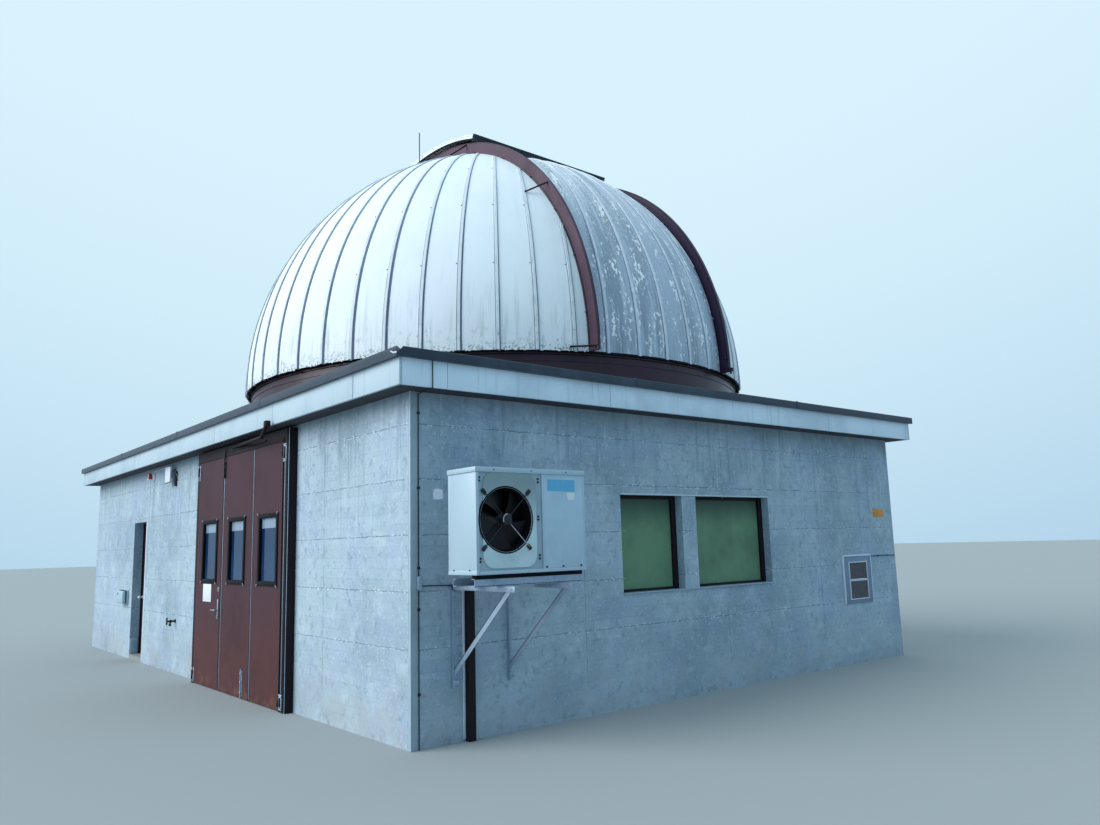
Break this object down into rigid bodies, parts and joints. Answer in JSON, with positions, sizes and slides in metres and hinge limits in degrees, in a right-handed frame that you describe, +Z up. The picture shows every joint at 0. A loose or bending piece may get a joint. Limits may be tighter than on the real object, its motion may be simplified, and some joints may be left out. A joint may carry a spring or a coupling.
{
  "type": "small observatory building with rotating slit dome",
  "caption": "Rectangular concrete observatory with flat roof, folding entrance, side door and a rotating hemispherical dome whose slit closes with two sliding shutters.",
  "frame": {"origin": "on the dome's rotation axis at ground level, on the underside of the floor slab", "axes": "+Z up, -Y is the front wall with the doors, +X is the wall with the outdoor unit and the way the slit faces at rest"},
  "size_m": [13.497, 8.778, 8.28],
  "materials": {
    "concrete": "board-marked in-situ concrete, weathered",
    "floor": "trowelled concrete",
    "roof": "grey roof coating over concrete",
    "fascia": "painted fascia panels",
    "coping": "dark sheet-metal capping",
    "door_paint": "faded brown enamel on steel",
    "glass": "plain window glass",
    "green_panel": "sage green paint",
    "enamel": "light stove enamel",
    "black_wire": "black coating",
    "galvanised": "hot-dip galvanised steel",
    "maroon_paint": "faded maroon paint on steel",
    "dome_white": "white paint, dirty at the lower edge",
    "shutter_grey": "grey paint, flaking to bare metal",
    "white_plastic": "moulded plastic"
  },
  "bodies": {
    "building": {"front_wall_left": "concrete", "front_wall_middle": "concrete", "front_wall_right": "concrete", "side_door_lintel": "concrete", "main_door_lintel": "concrete", "right_wall_near": "concrete", "right_wall_far": "concrete", "right_wall_sill": "concrete", "right_wall_lintel": "concrete", "window_pillar": "concrete", "back_wall": "concrete", "left_wall": "concrete", "floor_slab": "floor", "window_panel_near": "green_panel", "window_panel_far": "green_panel", "roof_slab": "roof", "fascia_front": "fascia", "fascia_back": "fascia", "fascia_left": "fascia", "fascia_right": "fascia", "coping_front": "coping", "coping_back": "coping", "coping_left": "coping", "coping_right": "coping", "main_door_frame": "door_paint", "main_door_leaf_middle": "door_paint", "main_door_leaf_right": "door_paint", "main_door_glass_middle": "glass", "main_door_glass_right": "glass", "side_door_frame": "door_paint", "unit_casing": "enamel", "fan_guard": "black_wire", "unit_bracket": "galvanised", "duct_cover": "maroon_paint", "vent_cabinet": "enamel", "door_lamp": "white_plastic", "letter_box": "enamel", "drum": "maroon_paint", "roller_track": "galvanised"},
    "main_door": {"main_door_leaf_left": "door_paint", "main_door_glass_left": "glass"},
    "side_door": {"side_door_leaf": "door_paint"},
    "fan": {"fan_rotor": "black_wire"},
    "dome": {"dome_base_ring": "black_wire", "dome_shell_left_front": "dome_white", "dome_shell_right_front": "dome_white", "dome_shell_left_back": "dome_white", "dome_shell_right_back": "dome_white", "dome_shell_rear": "dome_white", "arch_left": "maroon_paint", "arch_right": "maroon_paint", "lightning_rod": "galvanised"},
    "front_shutter": {"front_shutter": "shutter_grey"},
    "upper_shutter": {"upper_shutter": "dome_white"}
  },
  "joints": [
    {"name": "main_door_swing", "type": "hinge", "parent": "building", "child": "main_door", "pos_m": [-1.347, -4.199, 1.5], "axis": [0, 0, -1], "range_deg": [0, 100]},
    {"name": "side_door_swing", "type": "hinge", "parent": "building", "child": "side_door", "pos_m": [-4.395, -3.883, 1.1], "axis": [0, 0, -1], "range_deg": [0, 90]},
    {"name": "fan_spin", "type": "hinge", "parent": "building", "child": "fan", "pos_m": [5, -3.62, 1.936], "axis": [1, 0, 0], "continuous": true},
    {"name": "dome_rotation", "type": "hinge", "parent": "building", "child": "dome", "pos_m": [0, 0, 4.03], "axis": [0, 0, 1], "continuous": true},
    {"name": "front_shutter_slide", "type": "hinge", "parent": "dome", "child": "front_shutter", "pos_m": [0, 0, 4.03], "axis": [0, -1, 0], "range_deg": [0, 104]},
    {"name": "upper_shutter_slide", "type": "hinge", "parent": "dome", "child": "upper_shutter", "pos_m": [0, 0, 4.03], "axis": [0, -1, 0], "range_deg": [0, 42]}
  ]
}
